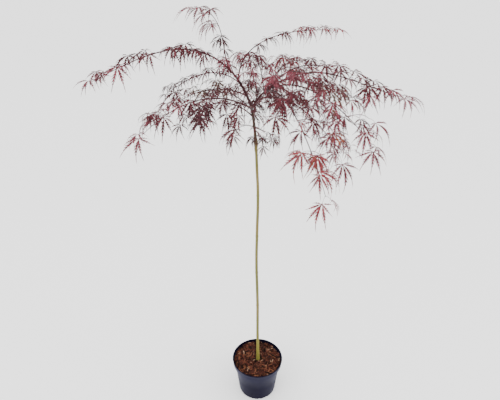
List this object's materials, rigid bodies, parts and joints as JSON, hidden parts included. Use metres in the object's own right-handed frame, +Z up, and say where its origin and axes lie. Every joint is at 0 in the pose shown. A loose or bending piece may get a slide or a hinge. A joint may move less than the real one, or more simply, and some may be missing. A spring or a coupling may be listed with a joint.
{
  "type": "potted weeping japanese maple",
  "caption": "Weeping laceleaf japanese maple with dark red dissected leaves, grafted on a tall clear stem, in a round black nursery pot.",
  "frame": {"origin": "middle of the pot's flat underside, on the ground", "axes": "+Z up along the stem, -Y towards the picture's viewer, +X to the viewer's right"},
  "size_m": [1.0307, 0.8417, 1.5341],
  "materials": {
    "pot_plastic": "soft satin black nursery plastic",
    "bark_mulch": "coarse red-brown bark chips over moist potting mix",
    "stem_bark": "smooth young bark, tan and olive green, with small scars",
    "shoot_bark": "smooth dark purple-brown young shoots",
    "leaf": "thin matt leaf, burgundy to red and rust"
  },
  "bodies": {
    "root": {"pot": "pot_plastic", "potting_mix": "bark_mulch", "stem": "stem_bark", "leader": "shoot_bark", "right_bough": "shoot_bark", "left_arm_bough": "shoot_bark", "top_shoot_bough": "shoot_bark", "right_upper_arm_bough": "shoot_bark", "mid_left_arm_bough": "shoot_bark", "lower_left_arm_bough": "shoot_bark", "left_middle_arm_bough": "shoot_bark", "right_arm_bough": "shoot_bark", "top_right_arm_bough": "shoot_bark", "top_back_arm_bough": "shoot_bark", "top_front_arm_bough": "shoot_bark", "top_left_arm_bough": "shoot_bark", "lower_right_arm_bough": "shoot_bark", "hanging_arm_bough": "shoot_bark", "low_right_arm_bough": "shoot_bark", "front_arm_bough": "shoot_bark", "front_left_arm_bough": "shoot_bark", "back_left_arm_bough": "shoot_bark", "back_arm_bough": "shoot_bark", "back_right_arm_bough": "shoot_bark", "left_arm_leaves": "leaf", "top_shoot_leaves": "leaf", "right_upper_arm_leaves": "leaf", "mid_left_arm_leaves": "leaf", "lower_left_arm_leaves": "leaf", "left_middle_arm_leaves": "leaf", "right_arm_leaves": "leaf", "top_right_arm_leaves": "leaf", "top_back_arm_leaves": "leaf", "top_front_arm_leaves": "leaf", "top_left_arm_leaves": "leaf", "lower_right_arm_leaves": "leaf", "hanging_arm_leaves": "leaf", "low_right_arm_leaves": "leaf", "front_arm_leaves": "leaf", "front_left_arm_leaves": "leaf", "back_left_arm_leaves": "leaf", "back_arm_leaves": "leaf", "back_right_arm_leaves": "leaf", "stem_shoot_left_leaves": "leaf", "stem_shoot_right_leaves": "leaf", "inner_left_shoot_leaves": "leaf", "inner_right_shoot_leaves": "leaf"}
  },
  "joints": []
}
